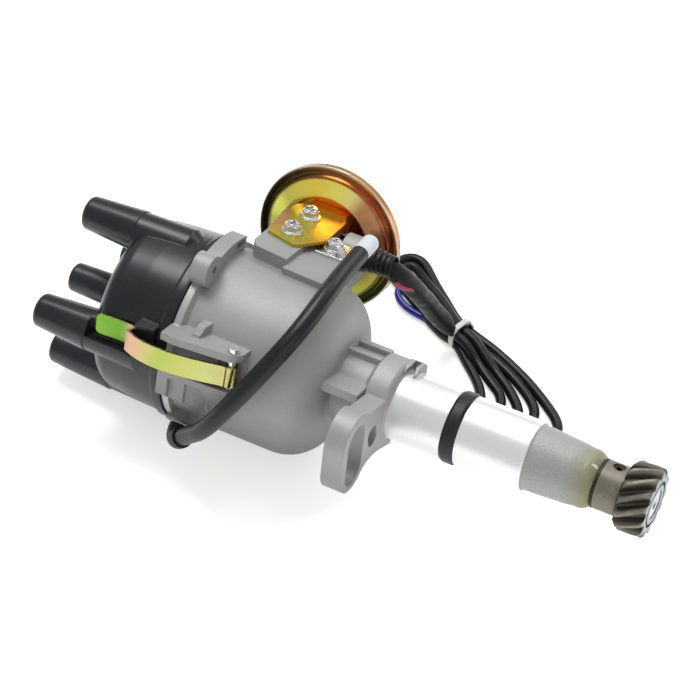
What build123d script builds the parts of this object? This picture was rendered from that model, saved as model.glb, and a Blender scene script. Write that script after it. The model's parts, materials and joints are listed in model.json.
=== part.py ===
from build123d import *
import math
import os

# Ignition distributor lying on its side.  Units are millimetres.
# +X runs along the shaft from the cap to the drive gear, the origin is on the
# shaft axis at the seating face of the clamp flange.  The pieces are laid out
# in a casting frame in which the vacuum rod runs along +y and the bracket pad
# faces +z; the whole object is then rolled about X to the pose it lies in.

ROLL = -19.1            # roll of the casting frame about X, degrees

# ---- driving dimensions -------------------------------------------------
SHANK_R = 15.0          # machined shank
SHANK_L = 61.2
NOSE_END = 89.8
SHAFT_R = 6.25
BOSS_R = 18.8
LUG_T = 9.0            # clamp lug thickness
SLOT_L, SLOT_W = 29.0, 14.4
SLOT_Y, SLOT_Z = -40.2, -4.5
SLOT_TILT = 7.0
BOWL_R = 38.0
BOWL_IN = 34.5
BOWL_X = -44.0          # start of the rounded shoulder
SEAM_X = -90.5
ORING_X0, ORING_X1 = 25.2, 31.6
GEAR_X0, GEAR_X1 = 101.0, 114.4
GEAR_TEETH = 13
GEAR_TIP_R, GEAR_ROOT_R = 14.9, 11.4   # the tips pass through the 30 mm bore
GEAR_HELIX = -30.0      # left-hand
COLLAR_R = 10.5
CAP_R = 41.0            # cap flange
CAP_END = -127.5
TOWER_RHO = 33.0
TOWER_R = 7.35
TOWER_TIPS = {0: -150.5, 90: -153.5, 180: -153.5, 257.7: -158.4}   # angle: mouth
TERM_X = 15.5           # depth of the wide part of a lead socket
CENTRE_TIP = -157.0
CENTRE_R = 6.4
SOCKET_R = 4.6
TERM_R = 4.0            # brass terminal at the bottom of a socket
VAC_X, VAC_Z = -66.0, 30.0
CAN_R = 33.2
PLATE_Z = 45.0          # top of the bracket plate
PIN_X, PIN_Y = -60.0, 38.6
CLIP_Z_FRONT, CLIP_Z_REAR = 8.0, -12.0
BAND_W = 9.4
BAND_T = 1.0
HOSE_D = 7.8
GY, GZ = 40.0, 36.6      # axis of the lead grommet in the casting frame
SLEEVE_D = 8.8
LEAD_D = 4.0
ADV_R = 29.7            # radius of the pickup pin
LUG_R = 31.3            # radius of the base plate screws
os.makedirs("parts", exist_ok=True)


# ---- helpers ------------------------------------------------------------
def cylx(r, x0, x1, y=0.0, z=0.0):
    return Solid.make_cylinder(r, x1 - x0, Plane(origin=(x0, y, z), x_dir=(0, 1, 0), z_dir=(1, 0, 0)))


def cyly(r, y0, y1, x, z):
    return Solid.make_cylinder(r, y1 - y0, Plane(origin=(x, y0, z), x_dir=(0, 0, 1), z_dir=(0, 1, 0)))


def cylz(r, z0, z1, x, y):
    return Solid.make_cylinder(r, z1 - z0, Plane(origin=(x, y, z0), x_dir=(1, 0, 0), z_dir=(0, 0, 1)))


def conex(r0, r1, x0, x1, y=0.0, z=0.0):
    return Solid.make_cone(r0, r1, x1 - x0, Plane(origin=(x0, y, z), x_dir=(0, 1, 0), z_dir=(1, 0, 0)))


def box(x0, x1, y0, y1, z0, z1):
    return Solid.make_box(x1 - x0, y1 - y0, z1 - z0, Plane(origin=(x0, y0, z0)))


def tubex(r_in, r_out, x0, x1, y=0.0, z=0.0):
    return cylx(r_out, x0, x1, y, z) - cylx(r_in, x0 - 1, x1 + 1, y, z)


def revx(pts):
    """Solid of revolution about X from (x, r) points; a 3-item tuple
    ('a', mid, end) makes an arc to end through mid."""
    edges, cur = [], pts[0]
    for p in pts[1:] + [pts[0]]:
        if p[0] == 'a':
            edges.append(ThreePointArc((cur[0], cur[1], 0), (p[1][0], p[1][1], 0), (p[2][0], p[2][1], 0)))
            cur = p[2]
        else:
            if abs(p[0] - cur[0]) + abs(p[1] - cur[1]) > 1e-9:
                edges.append(Line((cur[0], cur[1], 0), (p[0], p[1], 0)))
            cur = p
    face = Face(Wire(edges))
    return revolve(face, Axis.X, 360)


def revy(pts, x, z):
    """Solid of revolution about a line along y from (y, r) points."""
    s = revx(pts)                       # about X, then turned so X -> y
    s = s.rotate(Axis.Z, 90)
    return s.moved(Location((x, 0, z)))


def prism_yz(pts, x0, x1):
    """Extrude a (y, z) polygon along X."""
    w = Wire.make_polygon([Vector(x0, p[0], p[1]) for p in pts], close=True)
    return extrude(Face(w), amount=x1 - x0, dir=(1, 0, 0))


def prism_xy(pts, z0, z1):
    w = Wire.make_polygon([Vector(p[0], p[1], z0) for p in pts], close=True)
    return extrude(Face(w), amount=z1 - z0, dir=(0, 0, 1))


def slot_x(length, width, x0, x1, y, z, tilt):
    """Obround prism along X, long side along z turned by tilt towards +y at the bottom."""
    h = (length - width) / 2
    s = (box(x0, x1, -width / 2, width / 2, -h, h)
         + cylx(width / 2, x0, x1, 0, h) + cylx(width / 2, x0, x1, 0, -h))
    return s.rotate(Axis.X, tilt).moved(Location((0, y, z)))


def soft(shape, edges, r):
    for k in (1.0, 0.6, 0.35):
        try:
            out = shape.fillet(r * k, edges)
            if out.is_valid:
                return out
        except Exception:
            pass
    return shape


NODES = {}


def put(name, *solids):
    NODES[name] = list(solids)


# ======================= housing casting =================================
outer = revx([
    (SEAM_X, 0), (SEAM_X, 39.6), (SEAM_X + 0.6, 40.2), (-86.8, 40.2), (-85.2, BOWL_R),
    (BOWL_X, BOWL_R), ('a', (-30.565, 32.435), (-25.0, 19.0)), (-24.2, 16.4), (-11.6, 16.2),
    (-10.5, 17.8), (-9.6, BOSS_R), (-1.2, BOSS_R), (-0.2, 17.9), (0.0, 16.2), (1.0, SHANK_R),
    (ORING_X0, SHANK_R), (ORING_X0, 12.6), (ORING_X1, 12.6), (ORING_X1, SHANK_R),
    (SHANK_L - 0.5, SHANK_R), (SHANK_L, 14.5), (SHANK_L + 0.3, 14.05), (66.0, 13.9), (79.0, 13.15),
    (84.0, 12.5), ('a', (88.2, 11.6), (NOSE_END, 10.0)), (NOSE_END, 0)])
cavity = revx([
    (SEAM_X - 1, 0), (SEAM_X - 1, 36.2), (-88.3, 36.2), (-88.3, BOWL_IN), (-46.0, BOWL_IN),
    (-44.0, 34.0), ('a', (-36.5, 31.99), (-31.0, 26.48)), (-31.0, 0)])

lug_plate = (slot_x(SLOT_L + 7.6, SLOT_W + 9.0, -LUG_T, 0, SLOT_Y, SLOT_Z + 0.9, SLOT_TILT)
             + prism_yz([(-42, 14.4), (-33.5, 11.4), (-8, 8.6), (0, 0), (-1.5, -18.7), (-9.0, -16.9),
                         (-15.0, -15.3), (-20.5, -14.6), (-26.5, -15.4), (-31.0, -17.8), (-35.5, -19.6)], -LUG_T, 0))
lug_plate = lug_plate - slot_x(SLOT_L, SLOT_W, -LUG_T - 1, 1, SLOT_Y, SLOT_Z, SLOT_TILT)
web_hole = slot_x(10.4, 7.4, -LUG_T - 1, 1, -24.4, -3.4, 24)

# clip brackets: two ledges that carry the hinge pin, a pocket behind it
def clip_bracket(sy, zc):
    zt, zb = zc + 8.0, zc - 6.6
    top = prism_xy([(SEAM_X, sy * 30), (SEAM_X, sy * 44.6), (-84.5, sy * 45.4), (-60.0, sy * 42.4),
                    (-57.2, sy * 40.8), (-55.6, sy * 38.2), (-55.0, sy * 33)], zt, zt + 3.2)
    low = prism_xy([(SEAM_X, sy * 30), (SEAM_X, sy * 43.0), (-84.5, sy * 43.0), (-59.0, sy * 41.6),
                    (-55.6, sy * 38.6), (-52.0, sy * 33)], zb - 3.0, zb)
    return top + low


def clip_pocket(sy, zc):
    a, b = sorted((sy * 35.5, sy * 50.0))
    return box(-67.0, -54.0, a, b, zc - 6.6, zc + 8.0)


front_block = (prism_xy([(SEAM_X, -30), (SEAM_X, -43.0), (-85.6, -43.0), (-85.2, -41.0), (-78.5, -41.0),
                         (-78.2, -39.6), (-70.0, -37.0), (-66.0, -30)], -19.0, -1.6)
               - prism_yz([(-44, -10), (-44, -20), (-33, -20), (-36, -14.6)], -95, -60))
gusset = prism_xy([(-79.0, -30), (-79.0, -43.2), (-76.6, -43.2), (-74.4, -30)], 16.0, 23.0)
gusset = gusset & cylx(43.6, -80, -70)
gusset = gusset - prism_yz([(-50, 20.5), (-38.0, 20.5), (-28.0, 30), (-50, 30)], -90, -60)

# pads on top that carry the vacuum bracket and the clamp screw
pad1 = (prism_xy([(-80.0, 10), (-77.0, 5.5), (-61.5, 3.5), (-60.5, 46.0), (-80.0, 46.0)], 24.0, 43.5)
        - prism_yz([(34, 22), (47, 22), (47, 35.0)], -90, -50))
pad2 = (prism_xy([(-61.5, 0.5), (-42.5, -0.5), (-42.5, 44.5), (-61.0, 44.5)], 24.0, 41.0)
        - prism_yz([(38.0, 22), (47, 22), (47, 27.0)], -90, -30))
pad_slope = prism_yz([(-3, 44.5), (-3, 41.2), (1.6, 41.2), (3.2, 44.5)], -62, -30)

# rim flange sector with the screw ear
sector = (tubex(36.2, 44.6, SEAM_X, -83.4)
          & prism_yz([(0, 0), (-27, 50), (12, 52)], SEAM_X - 1, -80))
ear = cylx(6.9, SEAM_X, -82.8, -19.2, 39.0)
ear_web = prism_yz([(-25.8, 36.6), (-12.5, 37.0), (-15.0, 44.0), (-23, 43.6)], SEAM_X, -83.0)
ear_hole = cylx(1.7, SEAM_X - 1, -80, -18.6, 39.6)
slot_ear = slot_x(7.0, 3.2, -92, -80, 4.5, 41.6, 82)

# neck ribs and the small locating ear on top of the flange
rib_a = box(-26.5, -10.0, -3.6, -1.0, 8, 18.6)
rib_b = box(-26.5, -10.0, 7.0, 9.8, 6, 17.2)
rib_c = box(-31.5, -10.0, -23.2, -12.0, 7.4, 11.2)
rib_d = box(-30.0, -10.0, 12.0, 21.0, -10.5, -7.0)
top_ear = (prism_yz([(-2.0, 12), (-2.0, 16.6), (1.5, 18.3), (7.6, 18.0), (10.2, 15.4), (10.0, 10)], -1.0, 5.6)
           - cyly(2.1, -6, 7.6, 2.6, 16.4))

# body features
key_boss = cylx(5.2, SEAM_X, -82.0, 12, -38.0) & cylx(40.9, -95, -75)
inner_lugs = [cylx(3.7, -57.6, -44.0, 32.4 * math.cos(a), 32.4 * math.sin(a))
              for a in (math.radians(20), math.radians(140), math.radians(260))]
harness_boss = cylx(7.6, -51.0, -42.5, GY, GZ)

housing = outer
for s in (lug_plate, clip_bracket(-1, CLIP_Z_FRONT), clip_bracket(1, CLIP_Z_REAR), front_block, gusset,
          pad1, pad2, sector, ear, ear_web, rib_a, rib_b, rib_c, rib_d, top_ear, key_boss, harness_boss):
    housing = housing + s
housing = housing - pad_slope
housing = housing - cavity
for s in inner_lugs:
    housing = housing + s
housing = housing - web_hole - ear_hole - slot_ear
housing = housing - clip_pocket(-1, CLIP_Z_FRONT) - clip_pocket(1, CLIP_Z_REAR)
# the pin holes
for sy, zc in ((-1, CLIP_Z_FRONT), (1, CLIP_Z_REAR)):
    housing = housing - cylz(1.6, zc - 12, zc + 12, PIN_X, sy * PIN_Y)
    housing = housing - cylz(3.1, zc + 11.2, zc + 18, PIN_X, sy * PIN_Y)
# stepped bore: seal pocket, upper bushing, relief, lower bushing
housing = housing - cylx(11.0, -32, -25.5) - cylx(9.0, -26, -8.0) - cylx(8.0, -9, 69) - cylx(8.8, 68, 92)
# rod window, screw holes, harness hole
housing = housing - (cyly(4.2, 12, 50, VAC_X, VAC_Z) )
for (sx, sy) in ((-69.6, 23.7), (-69.6, 40.3)):
    housing = housing - cylz(2.0, 36.0, 50, sx, sy)
housing = housing - cylz(2.0, 33.0, 50, -50.7, 26.7)
housing = housing - cylx(5.6, -56, -40, GY, GZ)
housing = housing - Solid.make_cylinder(3.4, 26, Plane(origin=(-52.4, GY, GZ - 1.0), z_dir=(0, -0.74, -0.672)))
for a in (20, 140, 260):
    housing = housing - cylx(1.2, -60, -50.0, LUG_R * math.cos(math.radians(a)), LUG_R * math.sin(math.radians(a)))
# breather port low on the front of the bowl, and the socket of the elbow
ELB_A = math.radians(226)
EY, EZ = math.cos(ELB_A), math.sin(ELB_A)
ELB_X = -83.0
port = Solid.make_cylinder(2.4, 16, Plane(origin=(ELB_X, 30 * EY, 30 * EZ), z_dir=(0, EY, EZ)))
elb_boss = Solid.make_cylinder(7.4, 12, Plane(origin=(ELB_X, 30 * EY, 30 * EZ), z_dir=(0, EY, EZ)))
housing = housing + (elb_boss - cylx(36.3, -95, -60))
housing = housing - port
put("housing", housing)

# ======================= bearings, seals ================================
put("upper_bushing", tubex(SHAFT_R + 0.03, 9.0, -25.5, -8.0))
put("lower_bushing", tubex(SHAFT_R + 0.03, 8.8, 69.0, 89.4))
put("oil_seal", tubex(SHAFT_R + 0.35, 11.0, -31.0, -25.5))
oring = tubex(12.6, 15.55, ORING_X0, ORING_X1)
oring = soft(oring, oring.edges().filter_by(GeomType.CIRCLE).filter_by(lambda e: e.radius > 15), 1.6)
put("o_ring", oring)

# ======================= drive shaft ====================================
shaft = (cylx(SHAFT_R, -39.6, GEAR_X1 - 0.4) + cylx(4.0, -92.6, -39.6))
dimple = revx([(GEAR_X1 - 3.4, 0), (GEAR_X1, 3.0), (GEAR_X1, 0)])
shaft = shaft - dimple
roll_hole = cylz(2.6, -12, 12, 96.6, 0)
shaft = shaft - roll_hole
put("drive_shaft", shaft)
put("thrust_washer", tubex(SHAFT_R + 0.05, 10.6, 90.1, 90.9))

# helical gear with its collar: tooth sections lofted as a twisted prism
def gear_face(x, turn):
    pts = []
    n = GEAR_TEETH
    for i in range(n):
        c = 2 * math.pi * i / n + turn
        for r, d in ((GEAR_ROOT_R, -0.40), (GEAR_ROOT_R + 1.9, -0.235), (GEAR_TIP_R, -0.105),
                     (GEAR_TIP_R, 0.105), (GEAR_ROOT_R + 1.9, 0.235), (GEAR_ROOT_R, 0.40)):
            a = c + d * 2 * math.pi / n
            pts.append(Vector(x, r * math.cos(a), r * math.sin(a)))
    return Wire.make_polygon(pts, close=True)


gear_len = GEAR_X1 - GEAR_X0
twist_total = gear_len * math.tan(math.radians(GEAR_HELIX)) / 13.6
steps = 6
wires = [gear_face(GEAR_X0 + gear_len * i / steps, twist_total * i / steps) for i in range(steps + 1)]
gear = Solid.make_loft(wires, True)
# chamfered tooth ends
gear = gear & revx([(GEAR_X0, 0), (GEAR_X0, 12.6), (GEAR_X0 + 2.2, GEAR_TIP_R + 0.2),
                    (GEAR_X1 - 1.4, GEAR_TIP_R + 0.2), (GEAR_X1, 13.6), (GEAR_X1, 0)])
gear = gear + cylx(COLLAR_R, 91.1, GEAR_X0 + 0.2)
gear = gear - tubex(8.4, 10.0, GEAR_X1 - 0.7, GEAR_X1 + 1)
gear = gear - cylx(SHAFT_R, 90, 120)
gear = gear - roll_hole
put("drive_gear", gear)
put("roll_pin", (cylz(2.6, -9.6, 9.6, 96.6, 0) - cylz(1.3, -12, 12, 96.6, 0)))

# governor
gov = cylx(26.5, -41.8, -39.6)
gov = gov & box(-50, -30, -26.5, 26.5, -17.0, 17.0)
gov = gov - cylx(4.0, -45, -35)
for s in (-1, 1):
    gov = gov + cylx(2.0, -47.2, -41.8, s * 19.0, s * -9.0)
    gov = gov + cylx(1.4, -53.2, -41.8, s * 8.0, s * 14.6)
put("governor_plate", gov)


def weight(s):
    w = prism_yz([(14.0, -14.6), (21.6, -13.0), (23.6, -4.5), (23.2, 4.4), (18.8, 10.4), (13.4, 11.6), (10.6, 8.6), (11.2, -4)],
                 -46.6, -42.2)
    w = w - cylx(2.05, -50, -40, 19.0, -9.0)
    return w if s > 0 else w.rotate(Axis.X, 180)


put("governor_weight_a", weight(1))
put("governor_weight_b", weight(-1))


EAR_Y, EAR_Z = -6.4, 9.2       # spring post on the advance sleeve


def gspring(s):
    a, b = Vector(-51.7, s * 8.0, s * 14.6), Vector(-51.7, s * EAR_Y, s * EAR_Z)
    u = (b - a).normalized()
    a, b = a + 1.5 * u, b - 1.5 * u
    return Solid.make_cylinder(1.3, (b - a).length, Plane(origin=a, z_dir=tuple(u)))


put("governor_springs", gspring(1), gspring(-1))

# ======================= advance sleeve and rotor =======================
sleeve = cylx(7.0, -84.0, -48.6) + cylx(5.6, -93.2, -84.0) + cylx(9.0, -50.0, -47.7)
yoke = prism_yz([(-7, -3.4), (7, -3.4), (7, 3.4), (-7, 3.4)], -50.0, -47.7)
for q in (-1, 1):
    sleeve = sleeve + cylx(3.2, -50.0, -47.7, q * EAR_Y, q * EAR_Z) + cylx(1.0, -53.2, -50.0, q * EAR_Y, q * EAR_Z)
sleeve = sleeve + yoke - cylx(4.03, -100, -40)
sleeve = sleeve - box(-95, -86, 4.6, 7, -4, 4)
put("rotor_sleeve", sleeve)
rel = cylx(9.6, -73.0, -66.4)
for k in range(4):
    rel = rel + box(-73.0, -66.4, -1.6, 1.6, 0, 12.0).rotate(Axis.X, 45 + 90 * k)
rel = rel - cylx(7.0, -80, -60)
put("reluctor", rel)
rotor = cylx(10.4, -98.8, -84.0)
rotor = rotor + box(-98.8, -92.0, -6.4, 6.4, 0, 25.0) + box(-98.8, -90.0, -8.0, 8.0, -15.0, 0)
rotor = rotor - (cylx(5.6, -93.2, -80) - box(-95, -86, 4.6, 7, -4, 4))
rotor = rotor - cylx(2.0, -100, -90)
put("rotor_arm", rotor)
blade = box(-100.2, -98.8, -4.2, 4.2, -4.6, 27.6) - cylx(2.0, -105, -95)
blade = blade + box(-98.8, -95.6, -4.2, 4.2, 25.0, 27.6)
put("rotor_blade", blade)
put("rotor_screw", cylx(3.9, -102.0, -100.2) + cylx(2.0, -100.2, -94.2))

# ======================= plates inside the bowl =========================
base = tubex(9.4, 34.2, -59.3, -57.6) + tubex(9.4, 11.4, -63.6, -59.0)
for a in (20, 140, 260):
    base = base - cylx(1.4, -62, -55, LUG_R * math.cos(math.radians(a)), LUG_R * math.sin(math.radians(a)))
put("base_plate", base)
put("base_plate_screws", *[cylx(2.6, -61.0, -59.3, LUG_R * math.cos(math.radians(a)), LUG_R * math.sin(math.radians(a)))
                           + cylx(1.2, -59.3, -51.0, LUG_R * math.cos(math.radians(a)), LUG_R * math.sin(math.radians(a)))
                           for a in (20, 140, 260)])
pin_a = math.radians(95)
PY, PZ = ADV_R * math.cos(pin_a), ADV_R * math.sin(pin_a)
pick = tubex(11.46, 24.0, -63.4, -61.8)
pick = pick + prism_yz([(-5.4, 18), (-5.4, 31.4), (1.8, 31.8), (3.4, 18)], -63.4, -61.8)
pick = pick + prism_yz([(-30.4, -8.6), (-30.4, 8.6), (-18, 10.6), (-18, -10.6)], -63.4, -61.8)
put("pickup_plate", pick)
put("pickup_pin", cylx(1.5, -69.4, -63.4, PY, PZ))
mod = box(-76.5, -63.4, -30.2, -15.4, -8.4, 8.4) + box(-72.0, -67.2, -15.4, -12.7, -2.2, 2.2)
mod = mod - cylx(1.6, -80, -60, -22.8, 6.0) - cylx(1.6, -80, -60, -22.8, -6.0)
put("pickup_module", mod)
put("module_screws", *[cylx(2.6, -78.2, -76.5, -22.8, s * 6.0) + cylx(1.6, -76.5, -63.4, -22.8, s * 6.0) for s in (-1, 1)])
put("dust_cover", tubex(12.0, BOWL_IN, -82.6, -81.4) + tubex(33.2, BOWL_IN, -81.4, -77.0))

# ======================= vacuum unit ====================================
rod = box(VAC_X - 0.8, VAC_X + 0.8, PY + 2.5, 62.6, VAC_Z - 1.7, VAC_Z + 1.3) \
    + cylx(4.3, VAC_X - 0.8, VAC_X + 0.8, PY, PZ)
rod = rod - slot_x(5.0, 3.9, VAC_X - 3, VAC_X + 3, PY, PZ, 0)
rod = rod + cyly(2.6, 56.0, 62.4, VAC_X, VAC_Z)
put("vacuum_rod", rod)
cups = (cyly(17.0, 57.7, 59.0, VAC_X, VAC_Z) + cyly(17.0, 60.2, 61.4, VAC_X, VAC_Z)
        + cyly(4.6, 59.0, 60.2, VAC_X, VAC_Z)) - cyly(2.6, 50, 62.4, VAC_X, VAC_Z)
put("diaphragm_cups", cups)
put("diaphragm", revy([(57.0, 31.4), (57.0, 29.6), (59.0, 17.4), (59.0, 4.6), (60.2, 4.6), (60.2, 18.0), (58.0, 29.4),
                       (58.0, 31.4)], VAC_X, VAC_Z))
put("return_spring", cyly(8.2, 61.4, 75.1, VAC_X, VAC_Z) - cyly(6.6, 60, 77, VAC_X, VAC_Z))
front_shell = revy([(57.0, 31.4), (56.0, 31.4), (56.0, 30.2), (55.6, 29.5), (54.4, 28.7), (53.9, 28.0), (53.6, 27.2), (50.9, 21.8),
                    (50.6, 20.9), (51.2, 20.2), (55.6, 19.4), (56.4, 18.6), (56.4, 5.0), (57.3, 5.0), (57.3, 19.2),
                    (56.2, 20.3), (51.9, 21.5), (54.7, 27.3), (55.2, 28.2), (56.5, 28.9), (57.0, 29.6)],
                   VAC_X, VAC_Z)
put("vacuum_front_shell", front_shell)
back_shell = revy([(55.3, 31.2), (54.9, 31.7), (54.8, 32.5), (55.3, CAN_R), (58.2, CAN_R), (58.8, 32.7), (59.0, 31.6), (59.2, 30.4),
                   (60.8, 29.5), (66.0, 26.6), (71.0, 22.4), (74.6, 16.6), (76.2, 11.0), (76.6, 5.4), (75.4, 5.4),
                   (75.2, 10.8), (73.7, 16.0), (70.2, 21.5), (65.4, 25.6), (60.2, 28.5), (58.0, 29.3), (58.0, 31.4), (56.0, 31.4)],
                  VAC_X, VAC_Z)
put("vacuum_back_shell", back_shell)
nip = (cyly(5.4, 75.4, 78.4, VAC_X, VAC_Z) + cyly(3.0, 78.4, 91.4, VAC_X, VAC_Z)
       + revy([(91.4, 0), (91.4, 3.0), (92.0, 2.5), (92.0, 0)], VAC_X, VAC_Z)) \
    - cyly(1.7, 70, 95, VAC_X, VAC_Z)
put("vacuum_nipple", nip)

# bracket: plate on the pad, folded down into the well of the front shell
br = prism_xy([(-79.4, 21.2), (-78.0, 18.4), (-64.6, 14.6), (-62.4, 15.6), (-55.6, 25.6), (-54.8, 30.0), (-55.2, 46.5),
               (-57.4, 51.0), (-57.4, 56.4), (-75.6, 56.4), (-75.6, 51.6), (-79.6, 47.5), (-81.2, 38.0)],
              PLATE_Z - 1.5, PLATE_Z)
br = br + box(-75.6, -57.4, 54.9, 56.4, 34.0, PLATE_Z)
br = br - cylz(2.0, 30, 50, -69.6, 23.7) - cylz(2.0, 30, 50, -69.6, 40.3)
br = soft(br, [e for e in br.edges() if abs(e.center().Y - 56.4) < 0.01 and abs(e.center().Z - PLATE_Z) < 0.01], 1.2)
put("vacuum_bracket", br)


def hex_screw(x, y, z, length):
    hexa = Wire.make_polygon([Vector(x + 3.7 * math.cos(math.radians(60 * k + 12)),
                                     y + 3.7 * math.sin(math.radians(60 * k + 12)), z) for k in range(6)], close=True)
    h = extrude(Face(hexa), amount=2.7, dir=(0, 0, 1))
    h = h + Solid.make_cone(3.3, 2.6, 0.8, Plane(origin=(x, y, z + 2.7)))
    h = h - box(x - 2.3, x + 2.3, y - 0.45, y + 0.45, z + 1.7, z + 4) - box(x - 0.45, x + 0.45, y - 2.3, y + 2.3, z + 1.7, z + 4)
    return h + cylz(2.0, z - length, z, x, y)


def washer(x, y, z, r=4.6, t=1.0):
    return cylz(r, z, z + t, x, y) - cylz(2.0, z - 1, z + 3, x, y)


put("bracket_screws", hex_screw(-69.6, 23.7, PLATE_Z + 1.0, 9.6), hex_screw(-69.6, 40.3, PLATE_Z + 1.0, 9.6))
put("bracket_washers", washer(-69.6, 23.7, PLATE_Z), washer(-69.6, 40.3, PLATE_Z))
put("clamp_screw", hex_screw(-50.7, 26.7, 43.2, 9.6))
put("clamp_washer", washer(-50.7, 26.7, 42.2))
put("clamp_plate", (box(-56.6, -43.6, 21.0, 33.4, 41.0, 42.2) - cylz(2.0, 40, 50, -50.7, 26.7)))

# ======================= cap ============================================
put("cap_gasket", tubex(36.3, 40.9, -91.3, SEAM_X))
cap = revx([(-91.3, 0), (-91.3, 40.8), (-94.6, CAP_R), (-95.4, 40.4), (-95.8, 39.7), (-110.0, 39.0), (-119.0, 38.2),
            ('a', (-125.0, 35.6), (CAP_END, 30.0)), (CAP_END, 0)])
for a, tip in TOWER_TIPS.items():
    ty, tz = TOWER_RHO * math.cos(math.radians(a)), TOWER_RHO * math.sin(math.radians(a))
    t = conex(TOWER_R, 9.2, tip, CAP_END, ty, tz)
    t = soft(t, t.edges().sort_by(Axis.X)[:1], 2.2)
    cap = cap + t
    cap = cap + conex(9.2, 9.9, CAP_END, -103.0, ty * 0.985, tz * 0.985)
    cap = cap + conex(9.9, 5.0, -103.0, -96.5, ty * 0.985, tz * 0.985)
ct = conex(CENTRE_R, 7.6, CENTRE_TIP, CAP_END, 0, 0)
ct = soft(ct, ct.edges().sort_by(Axis.X)[:1], 1.8)
cap = cap + ct
# catches for the clips: a flat with a lip on the seam side
for sy, zc in ((-1, CLIP_Z_FRONT), (1, CLIP_Z_REAR)):
    a, b = sorted((sy * 33.0, sy * 41.2))
    cap = cap + box(-104.2, -95.2, a, b, zc - 8.4, zc + 8.4)
hollow = revx([(-90.0, 0), (-90.0, 36.0), (-94.0, 35.7), (-118.0, 34.4), ('a', (-121.2, 32.6), (-122.6, 29.0)), (-122.6, 0)])
cap = cap - hollow
for sy, zc in ((-1, CLIP_Z_FRONT), (1, CLIP_Z_REAR)):
    a, b = sorted((sy * 36.6, sy * 52.0))
    cap = cap - box(-127.0, -104.2, a, b, zc - 7.0, zc + 7.0)
for a, tip in TOWER_TIPS.items():
    ty, tz = TOWER_RHO * math.cos(math.radians(a)), TOWER_RHO * math.sin(math.radians(a))
    cap = cap + (cylx(5.2, -122.7, -106.0, ty * 0.93, tz * 0.93))
    cap = cap - cylx(SOCKET_R, tip - 1, tip + TERM_X, ty, tz) - cylx(TERM_R, tip, -131.0, ty, tz)
    cap = cap - cylx(2.0, -131.5, -104.0, ty, tz)
cap = cap + tubex(3.3, 7.2, -122.8, -108.5)
cap = cap - cylx(SOCKET_R, CENTRE_TIP - 1, CENTRE_TIP + TERM_X, 0, 0) - cylx(TERM_R, CENTRE_TIP, -133.0, 0, 0) - cylx(2.0, -133.5, -119.0, 0, 0) - cylx(3.3, -119.0, -100.0)
put("cap", cap)

elec, term = [], []
for k, (a, tip) in enumerate(TOWER_TIPS.items()):
    # the firing angles are 90 degrees apart, so one electrode steps across to its tower
    fire = round(a / 90) * 90
    off = math.radians(fire - a)
    ey, ez = TOWER_RHO * math.sin(off), TOWER_RHO * math.cos(off)
    e = box(-103.6, -97.0, -3.0, 3.0, 28.6, 34.2) + cylx(2.0, -130.9, -103.6, ey, ez)
    if off:
        e = e + box(-103.6, -99.0, 0.0, ey + 2.0, 29.4, 33.2)
    e = e.rotate(Axis.X, fire - 90)
    elec.append(e)
    ty, tz = TOWER_RHO * math.cos(math.radians(a)), TOWER_RHO * math.sin(math.radians(a))
    term.append(tubex(2.9, TERM_R, tip + TERM_X, -131.0, ty, tz) + cylx(TERM_R, -131.6, -131.0, ty, tz))
put("side_electrodes", *elec)
put("centre_electrode", cylx(2.0, -132.9, -119.0, 0, 0))
term.append(tubex(2.9, TERM_R, CENTRE_TIP + TERM_X, -133.0, 0, 0) + cylx(TERM_R, -133.6, -133.0, 0, 0))
put("tower_terminals", *term)
put("brush_spring", cylx(3.0, -119.0, -113.0) - cylx(2.3, -120, -112))
put("carbon_brush", cylx(3.24, -113.0, -102.3))

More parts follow.
